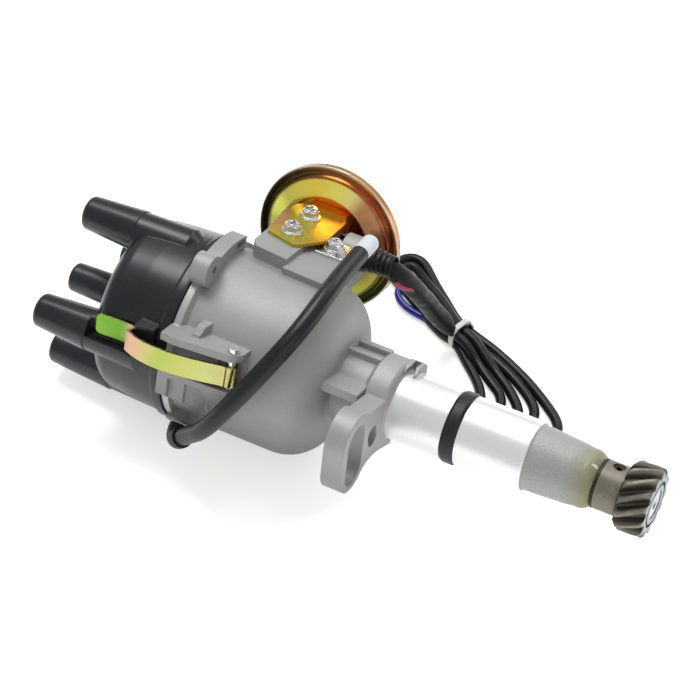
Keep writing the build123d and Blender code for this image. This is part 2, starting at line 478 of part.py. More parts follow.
# ======================= clips ==========================================
def band(sy, zc):
    """Spring clip: curl round the pin, long bowed band, hook and finger tab."""
    r = 1.65
    c = (PIN_X, PIN_Y)
    pts = [(-62.6, 40.9), (-74.0, 44.2), (-88.0, 46.6), (-98.0, 45.8), (-106.6, 42.4)]
    tab = [(-106.6, 42.4), (-105.2, 38.4), (-107.2, 37.7), (-114.0, 37.7), (-123.4, 38.3)]
    spl = Spline([Vector(p[0], sy * p[1], 0) for p in pts[:5]])
    n = 22
    cl = [spl @ (i / n) for i in range(n + 1)]
    prs = [(v.X, v.Y) for v in cl]
    prs = [(c[0] - 1.2, sy * (c[1] + 2.45))] + prs + [(p[0], sy * p[1]) for p in tab[1:]]
    left, right = [], []
    for i, p in enumerate(prs):
        a = prs[max(i - 1, 0)]
        b = prs[min(i + 1, len(prs) - 1)]
        d = math.hypot(b[0] - a[0], b[1] - a[1])
        nx, ny = -(b[1] - a[1]) / d, (b[0] - a[0]) / d
        if i not in (0, len(prs) - 1):      # mitre
            d1 = (p[0] - a[0], p[1] - a[1]); d2 = (b[0] - p[0], b[1] - p[1])
            l1, l2 = math.hypot(*d1), math.hypot(*d2)
            n1 = (-d1[1] / l1, d1[0] / l1); n2 = (-d2[1] / l2, d2[0] / l2)
            mx, my = n1[0] + n2[0], n1[1] + n2[1]
            ml = math.hypot(mx, my)
            mx, my = mx / ml, my / ml
            k = 1 / max(0.55, mx * n1[0] + my * n1[1])
            nx, ny = mx * k, my * k
        h = BAND_T / 2
        left.append((p[0] + nx * h, p[1] + ny * h))
        right.append((p[0] - nx * h, p[1] - ny * h))
    b = prism_xy(left + right[::-1], zc - BAND_W / 2, zc + BAND_W / 2)
    ya, yb = sorted((sy * 34.0, sy * 44.0))
    for q in (-1, 1):                        # round the corners of the tab
        za, zb = sorted((zc + q * (BAND_W / 2 - 2.4), zc + q * (BAND_W / 2 + 1)))
        b = b - (box(-125.0, -121.0, ya, yb, za, zb) - cyly(2.4, ya, yb, -121.0, zc + q * (BAND_W / 2 - 2.4)))
    curl = tubex_z(r, r + BAND_T, zc - BAND_W / 2, zc + BAND_W / 2, c[0], sy * c[1])
    b = b + curl
    b = b - cylz(r, zc - 20, zc + 20, c[0], sy * c[1])
    return b


def tubex_z(r_in, r_out, z0, z1, x, y):
    return cylz(r_out, z0, z1, x, y) - cylz(r_in, z0 - 1, z1 + 1, x, y)


put("clip_front", band(-1, CLIP_Z_FRONT))
put("clip_rear", band(1, CLIP_Z_REAR))
for nm, sy, zc in (("pin_front", -1, CLIP_Z_FRONT), ("pin_rear", 1, CLIP_Z_REAR)):
    zt, zb = zc + 11.2, zc - 9.6
    put("clip_" + nm, cylz(1.6, zb - 1.2, zt, PIN_X, sy * PIN_Y) + cylz(2.4, zt, zt + 2.2, PIN_X, sy * PIN_Y))

# ======================= breather hose ==================================
def rad_pt(r):
    return Vector(ELB_X, r * EY, r * EZ)


nip_b = Solid.make_cylinder(4.6, 0.8, Plane(origin=rad_pt(42.0), z_dir=(0, EY, EZ)))
nip_b = nip_b + Solid.make_cylinder(2.6, 3.5, Plane(origin=rad_pt(42.0), z_dir=(0, EY, EZ)))
nip_b = nip_b + Solid.make_cylinder(2.4, 6.8, Plane(origin=rad_pt(35.2), z_dir=(0, EY, EZ)))
nip_b = nip_b - Solid.make_cylinder(1.5, 30, Plane(origin=rad_pt(30), z_dir=(0, EY, EZ)))
put("breather_nipple", nip_b)
# moulded rubber elbow between the nipple and the hose
E1 = rad_pt(49.6)
D1 = Vector(0.63, -0.40, 0.66).normalized()
E2 = E1 + 8.4 * D1
elbow_path = FilletPolyline([tuple(rad_pt(42.8)), tuple(E1), tuple(E2)], radius=5.1)
elbow = sweep(Plane(origin=rad_pt(42.8), z_dir=(0, EY, EZ)) * Circle(4.7), path=elbow_path)
elbow = elbow - Solid.make_cylinder(2.6, 2.9, Plane(origin=rad_pt(42.7), z_dir=(0, EY, EZ)))
put("breather_elbow", elbow)
hose_start = E2


def cord_path(pts):
    P = [Vector(*p) for p in pts]
    runs = [(P[i + 1] - P[i]).length for i in range(len(P) - 1)]
    radii = []
    for i in range(1, len(P) - 1):
        turn = (P[i] - P[i - 1]).get_angle(P[i + 1] - P[i])
        radii.append(0.45 * min(runs[i - 1], runs[i]) / math.tan(math.radians(turn) / 2))
    return P, runs, radii


def cord_tube(name, pts, d):
    P, runs, radii = cord_path(pts)
    wire = FilletPolyline([tuple(p) for p in P], radius=radii)
    t0 = (P[1] - P[0]).normalized()
    sec = Plane(origin=P[0], z_dir=t0) * Circle(d / 2)
    tube = sweep(sec, path=wire)
    L = wire.length
    print(name, "length %.1f mm" % L, "runs", [round(r, 1) for r in runs], "radii", [round(r, 1) for r in radii],
          "volume/section*length %.4f" % (tube.volume / (math.pi * d * d / 4 * L)))
    return tube


hs = hose_start
H1 = E2 + 9.6 * D1
HOSE = [(hs.X, hs.Y, hs.Z), (H1.X, H1.Y, H1.Z), (-65.4, -46.6, -17.4), (-59.0, -48.0, -8.0),
        (-52.4, -46.6, 3.6), (-46.4, -43.4, 14.4), (-41.2, -38.4, 24.6), (-37.6, -31.0, 32.6), (-35.8, -21.0, 39.2),
        (-35.5, -9.0, 44.2), (-35.8, 5.0, 47.2), (-36.0, 19.5, 49.0)]
put("breather_hose", cord_tube("breather_hose", HOSE, HOSE_D))
fd = (Vector(*HOSE[-1]) - Vector(*HOSE[-2])).normalized()
fit_p = Vector(*HOSE[-1])
fitting = Solid.make_cylinder(3.75, 11.6, Plane(origin=fit_p, z_dir=tuple(fd)))
fitting = soft(fitting, fitting.edges().sort_by(Axis.Y)[-1:], 2.4)
put("hose_fitting", fitting)


# ======================= roll into the lying pose =======================
def lie(s):
    return s.rotate(Axis.X, ROLL)


def lie_pt(p):
    v = Vector(*p).rotate(Axis.X, ROLL)
    return (v.X, v.Y, v.Z)


# ======================= harness (lying frame) ==========================
FLOOR = -41.0
GROM = lie_pt((-42.5, GY, GZ))
put("harness_grommet", tubex(SLEEVE_D / 2, 6.6, -42.5, -40.2, GY, GZ) + tubex(SLEEVE_D / 2, 5.6, -48.0, -42.5, GY, GZ))
SLEEVE = [(-46.5, GROM[1], GROM[2]), (-33.4, GROM[1], GROM[2]), (-25.6, 53.4, 13.4), (-21.8, 58.6, 2.6),
          (-19.6, 64.4, -8.6), (-17.2, 69.0, -19.4), (-12.4, 72.4, -28.4)]
# hank of the folded lead, tied in the middle, flat on the surface it lies on
HANK = [(-14.0, 69.8), (-25.0, 70.4), (-37.0, 73.6), (-49.0, 80.4), (-57.4, 89.6), (-60.2, 100.0), (-57.6, 110.6),
        (-50.0, 114.2), (-41.6, 113.6), (-35.3, 107.6), (-23.8, 97.6), (-12.0, 87.2), (-5.4, 84.2), (4.0, 81.0),
        (20.0, 73.0), (34.0, 66.5), (46.0, 59.4), (53.2, 51.8), (55.2, 44.4), (50.4, 39.4), (40.0, 39.4), (28.0, 36.2),
        (17.0, 35.0), (8.8, 38.4), (5.0, 44.0), (-0.4, 54.0), (-6.2, 65.0), (-9.8, 70.0)]
TIE_C, TIE_U, TIE_V = (-7.6, 77.2), (0.954, -0.3), (0.3, 0.954)


def tie_box(half_v, z0, z1, half_u):
    pts = []
    for su, sv in ((-1, -1), (1, -1), (1, 1), (-1, 1)):
        pts.append((TIE_C[0] + su * half_u * TIE_U[0] + sv * half_v * TIE_V[0],
                    TIE_C[1] + su * half_u * TIE_U[1] + sv * half_v * TIE_V[1]))
    return prism_xy(pts, z0, z1)


hank = prism_xy(HANK, FLOOR, FLOOR + 10.6)
hank = soft(hank, hank.edges().filter_by(lambda e: abs(e.center().Z - FLOOR - 10.6) < 0.01), 2.4)
tie_in = tie_box(6.4, FLOOR + 1.1, FLOOR + 9.6, 1.7)
tie_all = tie_box(7.5, FLOOR, FLOOR + 10.7, 1.4)
hank = hank - (tie_box(30.0, FLOOR - 1, FLOOR + 20, 1.4) - tie_box(6.4, FLOOR + 1.1, FLOOR + 9.6, 1.7))
tie = tie_all - tie_in
tie = soft(tie, [e for e in tie.edges() if abs(e.length - 2.8) < 0.01 and abs(e.center().Z - FLOOR - 10.7) < 0.01], 1.6)
TAIL = [(9.4, 41.6, FLOOR + 2.2), (11.4, 34.6, FLOOR + 2.2), (16.4, 29.4, FLOOR + 2.6), (24.0, 27.4, FLOOR + 3.2)]
connector = (box(24.0, 43.0, 21.4, 33.4, FLOOR, FLOOR + 9.6) - box(36.0, 44.0, 23.2, 31.6, FLOOR + 1.6, FLOOR + 8.0))
connector = connector + box(36.0, 42.0, 25.0, 25.8, FLOOR + 3.6, FLOOR + 6.0) + box(36.0, 42.0, 29.0, 29.8, FLOOR + 3.6, FLOOR + 6.0)
connector = connector + box(27.0, 36.0, 25.4, 29.4, FLOOR + 9.6, FLOOR + 11.0)
LYING = {"harness_hank": [hank], "harness_tie": [tie], "harness_connector": [connector]}

if __name__ == "__main__":
    total = 0
    for name, solids in NODES.items():
        out = []
        for s in solids:
            for q in s.solids():
                out.append(lie(q))
        shape = out[0] if len(out) == 1 else Compound(out)
        export_step(shape, "parts/%s.step" % name)
        total += 1
    LYING["harness_sleeve"] = [cord_tube("harness_sleeve", SLEEVE, SLEEVE_D)]
    LYING["harness_tail"] = [cord_tube("harness_tail", TAIL, LEAD_D)]
    for name, solids in LYING.items():
        out = [q for s in solids for q in s.solids()]
        export_step(out[0] if len(out) == 1 else Compound(out), "parts/%s.step" % name)
        total += 1
        print(name, len(out), [round(q.volume, 1) for q in out])
    print("nodes", total)
    print("grommet", GROM, "hose start", lie_pt(tuple(hs)))
    print("hose route lying", [tuple(round(c, 2) for c in lie_pt(p)) for p in HOSE])
    print("fitting end", lie_pt(tuple(fit_p + 11.6 * fd)))
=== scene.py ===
import bpy
import bmesh
import json
import math
import random
from mathutils import Matrix, Vector


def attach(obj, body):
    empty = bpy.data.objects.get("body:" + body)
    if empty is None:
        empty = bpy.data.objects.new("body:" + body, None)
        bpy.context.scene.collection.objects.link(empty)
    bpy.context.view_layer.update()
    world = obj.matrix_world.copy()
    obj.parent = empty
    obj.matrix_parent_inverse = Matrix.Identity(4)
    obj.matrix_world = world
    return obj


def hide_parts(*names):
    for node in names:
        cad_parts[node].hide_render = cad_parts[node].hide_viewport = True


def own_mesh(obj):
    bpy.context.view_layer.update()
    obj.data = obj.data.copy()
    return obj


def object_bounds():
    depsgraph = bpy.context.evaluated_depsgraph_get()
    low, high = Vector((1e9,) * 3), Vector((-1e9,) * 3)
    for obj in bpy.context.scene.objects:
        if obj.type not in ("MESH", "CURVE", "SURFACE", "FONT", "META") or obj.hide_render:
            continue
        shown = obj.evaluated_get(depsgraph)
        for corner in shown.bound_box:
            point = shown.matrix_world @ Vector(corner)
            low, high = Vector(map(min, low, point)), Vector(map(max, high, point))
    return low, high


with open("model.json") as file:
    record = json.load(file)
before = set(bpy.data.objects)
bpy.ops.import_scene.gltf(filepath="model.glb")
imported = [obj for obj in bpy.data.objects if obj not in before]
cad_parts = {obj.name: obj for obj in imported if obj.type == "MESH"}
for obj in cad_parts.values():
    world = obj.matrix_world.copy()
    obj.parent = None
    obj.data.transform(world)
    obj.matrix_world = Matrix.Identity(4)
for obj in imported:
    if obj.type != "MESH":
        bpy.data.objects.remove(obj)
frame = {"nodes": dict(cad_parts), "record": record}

cad_lo, cad_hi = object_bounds()
nodes = frame["nodes"]
scene = bpy.context.scene
MM = 0.001

# The casting frame (vacuum rod along +y, pad facing +z) rolled about X gives
# the lying pose, as in the model.
ROLL = math.radians(-19.1)
ROT = Matrix.Rotation(ROLL, 4, "X")


def W(x, y, z):
    """casting frame, mm -> row frame, m"""
    return ROT @ (Vector((x, y, z)) * MM)


def P(x, y, z):
    """lying frame, mm -> row frame, m"""
    return Vector((x, y, z)) * MM


# ------------------------------------------------------------------ camera
cam_data = bpy.data.cameras.new("camera")
cam = bpy.data.objects.new("camera", cam_data)
scene.collection.objects.link(cam)
scene.camera = cam
cam_data.sensor_fit = "HORIZONTAL"
cam_data.sensor_width = 36.0
cam_data.lens = 36.0 * 2500.0 / 700.0
cam_data.clip_start, cam_data.clip_end = 0.05, 20.0
AZ, EL = math.radians(27.59), math.radians(48.15)
r = Vector((math.cos(AZ), math.sin(AZ), 0))
b = Vector((math.sin(AZ) * math.cos(EL), -math.cos(AZ) * math.cos(EL), math.sin(EL)))
w = b.cross(r)
cam.matrix_world = Matrix(((r.x, w.x, b.x, 0.29281), (r.y, w.y, b.y, -0.60399), (r.z, w.z, b.z, 0.78224), (0, 0, 0, 1)))

# ------------------------------------------------------------------ colour
scene.view_settings.view_transform = "Standard"
scene.view_settings.look = "None"


def lin(c):
    """sRGB 0..255 -> linear"""
    out = []
    for v in c[:3]:
        v = v / 255.0
        out.append(v / 12.92 if v <= 0.04045 else ((v + 0.055) / 1.055) ** 2.4)
    return (*out, 1.0)


class Mat:
    """Small helper round one principled material."""

    def __init__(self, name, color=(128, 128, 128), rough=0.5, metal=0.0, spec=None, coat=None, coat_rough=None, ior=None,
                 aniso=None, sheen=None):
        self.m = bpy.data.materials.new(name)
        self.m.use_nodes = True
        self.nt = self.m.node_tree
        self.bs = self.nt.nodes["Principled BSDF"]
        self.bs.inputs["Base Color"].default_value = lin(color)
        self.bs.inputs["Roughness"].default_value = rough
        self.bs.inputs["Metallic"].default_value = metal
        if spec is not None:
            self.bs.inputs["Specular IOR Level"].default_value = spec
        if coat is not None:
            self.bs.inputs["Coat Weight"].default_value = coat
            self.bs.inputs["Coat Roughness"].default_value = 0.1 if coat_rough is None else coat_rough
        if ior is not None:
            self.bs.inputs["IOR"].default_value = ior
        if aniso is not None:
            self.bs.inputs["Anisotropic"].default_value = aniso
        if sheen is not None:
            self.bs.inputs["Sheen Weight"].default_value = sheen
        self._co = None

    def n(self, kind, **kw):
        node = self.nt.nodes.new(kind)
        for k, v in kw.items():
            if k in node.inputs:
                node.inputs[k].default_value = v
            else:
                setattr(node, k, v)
        return node

    def link(self, a, b):
        self.nt.links.new(a, b)

    @property
    def co(self):
        if self._co is None:
            self._co = self.n("ShaderNodeTexCoord").outputs["Object"]
        return self._co

    def mapped(self, scale=(1, 1, 1), rot=(0, 0, 0), loc=(0, 0, 0)):
        mp = self.n("ShaderNodeMapping")
        mp.inputs["Scale"].default_value = scale
        mp.inputs["Rotation"].default_value = rot
        mp.inputs["Location"].default_value = loc
        self.link(self.co, mp.inputs["Vector"])
        return mp.outputs["Vector"]

    def noise(self, scale, detail=3.0, rough=0.55, vec=None, dist=0.0):
        nz = self.n("ShaderNodeTexNoise")
        nz.inputs["Scale"].default_value = scale
        nz.inputs["Detail"].default_value = detail
        nz.inputs["Roughness"].default_value = rough
        nz.inputs["Distortion"].default_value = dist
        self.link(vec if vec is not None else self.co, nz.inputs["Vector"])
        return nz.outputs["Fac"]

    def ramp(self, fac, stops, interp="LINEAR"):
        rp = self.n("ShaderNodeValToRGB")
        rp.color_ramp.interpolation = interp
        el = rp.color_ramp.elements
        while len(el) > 1:
            el.remove(el[-1])
        el[0].position = stops[0][0]
        el[0].color = lin(stops[0][1]) if len(stops[0][1]) == 3 else stops[0][1]
        for p, c in stops[1:]:
            e = el.new(p)
            e.color = lin(c) if len(c) == 3 else c
        self.link(fac, rp.inputs["Fac"])
        return rp.outputs["Color"]

    def math(self, op, a, b=None, c=None, clamp=False):
        m = self.n("ShaderNodeMath")
        m.operation = op
        m.use_clamp = clamp
        for k, v in enumerate((a, b, c)):
            if v is None:
                continue
            if isinstance(v, (int, float)):
                m.inputs[k].default_value = v
            else:
                self.link(v, m.inputs[k])
        return m.outputs[0]

    def mix(self, fac, a, b, mode="MIX"):
        m = self.n("ShaderNodeMix")
        m.data_type = "RGBA"
        m.blend_type = mode
        for k, v in ((0, fac), (6, a), (7, b)):
            if isinstance(v, (int, float)):
                m.inputs[k].default_value = v
            elif isinstance(v, (tuple, list)):
                m.inputs[k].default_value = lin(v) if len(v) == 3 else v
            else:
                self.link(v, m.inputs[k])
        return m.outputs[2]

    def mixf(self, fac, a, b):
        m = self.n("ShaderNodeMix")
        m.data_type = "FLOAT"
        for k, v in ((0, fac), (2, a), (3, b)):
            if isinstance(v, (int, float)):
                m.inputs[k].default_value = v
            else:
                self.link(v, m.inputs[k])
        return m.outputs[0]

    def map(self, v, a0, a1, b0=0.0, b1=1.0, smooth=False):
        m = self.n("ShaderNodeMapRange")
        m.interpolation_type = "SMOOTHSTEP" if smooth else "LINEAR"
        m.clamp = True
        for k, x in ((1, a0), (2, a1), (3, b0), (4, b1)):
            m.inputs[k].default_value = x
        self.link(v, m.inputs[0])
        return m.outputs[0]

    def sep(self, vec=None):
        s = self.n("ShaderNodeSeparateXYZ")
        self.link(vec if vec is not None else self.co, s.inputs[0])
        return s.outputs[0], s.outputs[1], s.outputs[2]

    def casting_xyz(self):
        """object position turned back into the casting frame, in mm"""
        mp = self.n("ShaderNodeMapping")
        mp.vector_type = "POINT"
        mp.inputs["Rotation"].default_value = (-ROLL, 0, 0)
        mp.inputs["Scale"].default_value = (1000, 1000, 1000)
        self.link(self.co, mp.inputs["Vector"])
        return self.sep(mp.outputs["Vector"])

    def edge(self, radius=0.0008, samples=6):
        """0 on flats, 1 on convex edges: pointiness is used, which is per vertex, so it is only a weak cue"""
        g = self.n("ShaderNodeNewGeometry")
        return g.outputs["Pointiness"]

    def bump(self, height, strength=0.2, dist=0.0002, normal=None):
        bp = self.n("ShaderNodeBump")
        bp.inputs["Strength"].default_value = strength
        bp.inputs["Distance"].default_value = dist
        self.link(height, bp.inputs["Height"])
        if normal is not None:
            self.link(normal, bp.inputs["Normal"])
        self.link(bp.outputs["Normal"], self.bs.inputs["Normal"])
        return bp.outputs["Normal"]

    def soft_normal(self, radius=0.0005, samples=4):
        bv = self.n("ShaderNodeBevel")
        bv.samples = samples
        bv.inputs["Radius"].default_value = radius
        return bv.outputs["Normal"]

    def color(self, sock):
        self.link(sock, self.bs.inputs["Base Color"])

    def rough(self, sock):
        self.link(sock, self.bs.inputs["Roughness"])

    def metal(self, sock):
        self.link(sock, self.bs.inputs["Metallic"])


def rad_of(m, y, z, cy=0.0, cz=0.0):
    dy = m.math("SUBTRACT", y, cy)
    dz = m.math("SUBTRACT", z, cz)
    return m.math("SQRT", m.math("ADD", m.math("MULTIPLY", dy, dy), m.math("MULTIPLY", dz, dz)))


# ---------------------------------------------------------------- materials
def make_casting():
    m = Mat("cast_aluminium", (170, 170, 168), 0.5, 0.4)
    x, y, z = m.casting_xyz()
    rr = rad_of(m, y, z)
    # machined shank between the flange and the nose
    shank = m.math("MULTIPLY", m.map(x, 0.9, 1.2), m.map(x, 61.0, 61.3, 1.0, 0.0))
    shank = m.math("MULTIPLY", shank, m.map(rr, 15.3, 15.8, 1.0, 0.0))
    # turned band at the mouth of the bowl
    band = m.math("MULTIPLY", m.map(x, -91.5, -91.0), m.map(x, -87.2, -86.8, 1.0, 0.0))
    band = m.math("MULTIPLY", band, m.map(rr, 39.8, 39.95))
    band = m.math("MULTIPLY", band, m.map(rr, 40.6, 40.8, 1.0, 0.0))
    nose = m.map(x, 61.2, 61.5)
    grain = m.noise(1500.0, 3.0, 0.6)
    speck = m.noise(520.0, 2.0, 0.5)
    blotch = m.noise(38.0, 3.0, 0.5)
    cast_c = m.mix(m.map(blotch, 0.3, 0.72), (154, 154, 152), (167, 167, 166))
    cast_c = m.mix(m.map(grain, 0.45, 0.65, 0.0, 0.14), cast_c, (130, 130, 128))
    # small pits and dark specks of the pressure casting
    cast_c = m.mix(m.map(speck, 0.72, 0.78, 0.0, 0.4), cast_c, (96, 95, 92))
    # the nose is duller, and oil-stained only at its end
    tint = m.mix(m.map(m.math("ADD", x, m.math("MULTIPLY", blotch, 9.0)), 84.0, 94.0), (160, 160, 158), (136, 138, 104))
    tint = m.mix(m.map(grain, 0.45, 0.65, 0.0, 0.3), tint, (112, 112, 104))
    # painted shade: darker towards the bowl end (x from -20 to -30) and darker towards the bottom of the underside (z
    # from -4 to -30)
    cast_c = m.mix(m.map(x, -20.0, -30.0, 0.0, 0.3), cast_c, (126, 126, 124))
    cast_c = m.mix(m.map(z, -4.0, -30.0, 0.0, 0.85), cast_c, (86, 85, 81))
    cast_c = m.mix(nose, cast_c, tint)
    # a few bright scratches near the oil seal end
    sc = m.noise(70.0, 1.0, 0.3, vec=m.mapped((0.5, 7.0, 7.0), (0.5, 0.0, 0.0)))
    scr = m.math("MULTIPLY", m.math("MULTIPLY", m.map(sc, 0.672, 0.684), m.map(x, 76.0, 80.0)), m.map(z, 5.0, 8.0))
    cast_c = m.mix(m.math("MULTIPLY", scr, 0.8), cast_c, (226, 228, 214))
    # the turned surfaces: fine tool lines round the axis, colour drifting with the angle only
    lines = m.noise(50.0, 2.0, 0.5, vec=m.mapped((40.0, 0.02, 0.02)))
    drift = m.noise(16.0, 2.0, 0.5, vec=m.mapped((0.08, 1.0, 1.0)))
    turn_c = m.mix(m.map(drift, 0.35, 0.65), (224, 227, 229), (240, 240, 239))
    turn_c = m.mix(m.map(lines, 0.35, 0.65, 0.0, 0.16), turn_c, (180, 182, 186))
    band_c = m.mix(m.map(lines, 0.3, 0.7), (168, 168, 168), (182, 182, 182))
    c = m.mix(shank, cast_c, turn_c)
    m.color(m.mix(band, c, band_c))
    rough = m.mixf(shank, m.map(grain, 0.3, 0.7, 0.50, 0.60), m.map(drift, 0.3, 0.7, 0.28, 0.36))
    m.rough(m.mixf(band, rough, 0.42))
    m.metal(m.mixf(shank, m.mixf(band, 0.3, 0.5), 0.5))
    fine = m.math("ADD", grain, m.math("MULTIPLY", speck, 0.7))
    height = m.mixf(m.math("MAXIMUM", shank, band), fine, m.math("MULTIPLY", lines, 0.12))
    m.bump(height, 0.16, 0.00012, m.soft_normal(0.0006))
    return m.m


def make_cap():
    m = Mat("cap_thermoset", (30, 32, 35), 0.3, 0.0, spec=0.42)
    sp = m.noise(900.0, 3.0, 0.6)
    bl = m.noise(48.0, 2.0, 0.5)
    flow = m.noise(20.0, 3.0, 0.55, vec=m.mapped((0.35, 1.0, 1.0)), dist=0.6)
    c = m.mix(m.map(bl, 0.35, 0.7), (20, 22, 24), (30, 32, 35))
    c = m.mix(m.map(flow, 0.5, 0.75, 0.0, 0.5), c, (40, 43, 47))
    m.color(m.mix(m.map(sp, 0.66, 0.74, 0.0, 0.5), c, (64, 68, 73)))
    m.rough(m.map(flow, 0.3, 0.7, 0.24, 0.38))
    m.bump(m.math("ADD", m.math("MULTIPLY", sp, 0.5), m.math("MULTIPLY", bl, 0.9)), 0.08, 0.00018, m.soft_normal(0.0008))
    return m.m


def make_rubber(name, color, rough=0.42, spec=0.4, lift=1.4):
    m = Mat(name, color, rough, 0.0, spec=spec)
    n1 = m.noise(520.0, 3.0, 0.55)
    n2 = m.noise(35.0, 2.0, 0.5)
    c2 = tuple(min(255, int(v * lift) + 4) for v in color)
    c = m.mix(m.map(n2, 0.4, 0.75, 0.0, 0.6), color, c2)
    m.color(m.mix(m.map(n1, 0.68, 0.76, 0.0, 0.3), c, tuple(min(255, v + 34) for v in color)))
    m.rough(m.map(n2, 0.3, 0.7, rough - 0.06, rough + 0.1))
    m.bump(m.math("ADD", m.math("MULTIPLY", n1, 0.6), m.math("MULTIPLY", n2, 1.6)), 0.09, 0.00018, m.soft_normal(0.0003))
    return m.m


def make_steel(name, c1, c2, rough=0.3, metal=1.0, scale=500.0, bump=0.08, bevel=0.0003):
    m = Mat(name, c1, rough, metal)
    n1 = m.noise(scale, 3.0, 0.6)
    n2 = m.noise(90.0, 2.0, 0.5)
    m.color(m.mix(m.map(n2, 0.35, 0.7), c1, c2))
    m.rough(m.map(n1, 0.3, 0.7, rough - 0.05, rough + 0.08))
    m.bump(n1, bump, 0.0001, m.soft_normal(bevel))
    return m.m


def make_gear():
    m = Mat("gear_steel", (120, 112, 104), 0.36, 0.6)
    x, y, z = m.casting_xyz()
    rr = rad_of(m, y, z)
    n1 = m.noise(700.0, 3.0, 0.6)
    n2 = m.noise(140.0, 2.0, 0.5)
    crest = m.map(rr, 12.9, 14.6, smooth=True)
    tooth = m.mix(crest, (74, 72, 60), (126, 120, 108))
    tooth = m.mix(m.math("MULTIPLY", crest, m.map(n2, 0.5, 0.72)), tooth, (146, 141, 131))
    face = m.map(x, 113.9, 114.2)
    tooth = m.mix(face, tooth, m.mix(m.map(n2, 0.3, 0.7), (140, 148, 149), (166, 174, 175)))
    # turned hub in front of the teeth
    hub = m.math("MULTIPLY", m.map(x, 114.5, 114.8), m.map(rr, 8.6, 9.0, 1.0, 0.0))
    tooth = m.mix(hub, tooth, (120, 122, 118))
    collar = m.map(x, 100.6, 100.9, 1.0, 0.0)
    tooth = m.mix(collar, tooth, m.mix(m.map(n2, 0.3, 0.7), (112, 107, 96), (130, 124, 112)))
    m.color(m.mix(m.map(n1, 0.55, 0.75, 0.0, 0.35), tooth, (62, 59, 50)))
    m.rough(m.map(n2, 0.3, 0.7, 0.42, 0.56))
    m.bump(n1, 0.12, 0.00012, m.soft_normal(0.0003))
    return m.m


def make_can():
    """yellow chromate over bright plate: the colour runs round the can's axis, partly the film's own colour and partly
    painted reflection, with a painted highlight towards the top and painted shade on the dimmer sides
    """
    m = Mat("chromate_can", (200, 160, 60), 0.24, 0.7)
    x, y, z = m.casting_xyz()
    dx = m.math("ADD", x, 66.0)
    dz = m.math("SUBTRACT", z, 30.0)
    rr = m.math("SQRT", m.math("ADD", m.math("MULTIPLY", dx, dx), m.math("MULTIPLY", dz, dz)))
    ang = m.math("ARCTAN2", dz, dx)                      # -pi..pi, 0 towards the gear, pi/2 up
    a = m.math("ADD", m.math("DIVIDE", ang, 2 * math.pi), 0.5)   # 0..1: 0 and 1 = left, .25 down, .5 right, .75 up
    wob = m.noise(30.0, 3.0, 0.5)
    wob2 = m.noise(85.0, 3.0, 0.6)
    a = m.math("ADD", a, m.map(wob, 0.3, 0.7, -0.022, 0.022))
    # painted light: the ring, trough, rim, well and back ramps by angle hold a painted highlight near the top (a about
    # 0.69 to 0.82) and painted shade on the dimmer sides, over the chromate's own yellow, olive and copper
    ring = m.ramp(a, [(0.0, (180, 186, 74)), (0.14, (190, 196, 72)), (0.3, (186, 196, 66)), (0.42, (186, 176, 70)),
                      (0.5, (196, 142, 86)), (0.58, (214, 150, 106)), (0.645, (196, 142, 94)), (0.69, (255, 236, 150)),
                      (0.74, (255, 244, 110)), (0.80, (255, 224, 90)), (0.87, (236, 226, 96)), (0.94, (200, 200, 84)), (1.0, (180, 186, 74))])
    trough = m.ramp(a, [(0.0, (70, 72, 26)), (0.2, (62, 86, 24)), (0.4, (66, 74, 24)), (0.5, (110, 66, 30)),
                        (0.6, (150, 66, 34)), (0.68, (176, 84, 38)), (0.76, (150, 92, 36)), (0.84, (96, 74, 32)), (1.0, (70, 72, 26))])
    rim = m.ramp(a, [(0.0, (74, 70, 30)), (0.25, (66, 96, 26)), (0.42, (92, 104, 36)), (0.5, (176, 112, 56)),
                     (0.58, (190, 118, 52)), (0.68, (204, 150, 84)), (0.76, (176, 132, 84)), (0.86, (96, 78, 40)), (1.0, (74, 70, 30))])
    well = m.ramp(a, [(0.0, (170, 136, 50)), (0.3, (120, 52, 22)), (0.5, (84, 28, 14)), (0.6, (150, 50, 20)), (0.70, (250, 150, 34)),
                      (0.82, (255, 200, 60)), (0.92, (220, 180, 60)), (1.0, (170, 136, 50))])
    c = m.mix(m.map(rr, 20.4, 21.4), well, ring)
    c = m.mix(m.map(rr, 27.4, 28.1), c, trough)
    c = m.mix(m.map(rr, 30.6, 31.2), c, rim)
    edge = m.math("MULTIPLY", m.map(rr, 32.5, 32.9), m.map(y, 55.2, 56.2, 1.0, 0.0))
    c = m.mix(m.math("MULTIPLY", edge, 0.8), c, (214, 210, 200))
    back = m.map(y, 58.8, 59.8)
    c = m.mix(back, c, m.ramp(a, [(0.0, (176, 150, 62)), (0.3, (150, 160, 62)), (0.55, (206, 150, 90)), (0.8, (226, 196, 96)), (1.0, (176, 150, 62))]))
    c = m.mix(m.map(wob2, 0.55, 0.75, 0.0, 0.3), c, (226, 190, 110))
    m.color(c)
    m.rough(m.map(wob, 0.3, 0.7, 0.17, 0.30))
    m.bump(m.noise(260.0, 2.0, 0.5), 0.05, 0.0002, m.soft_normal(0.0005))
    return m.m


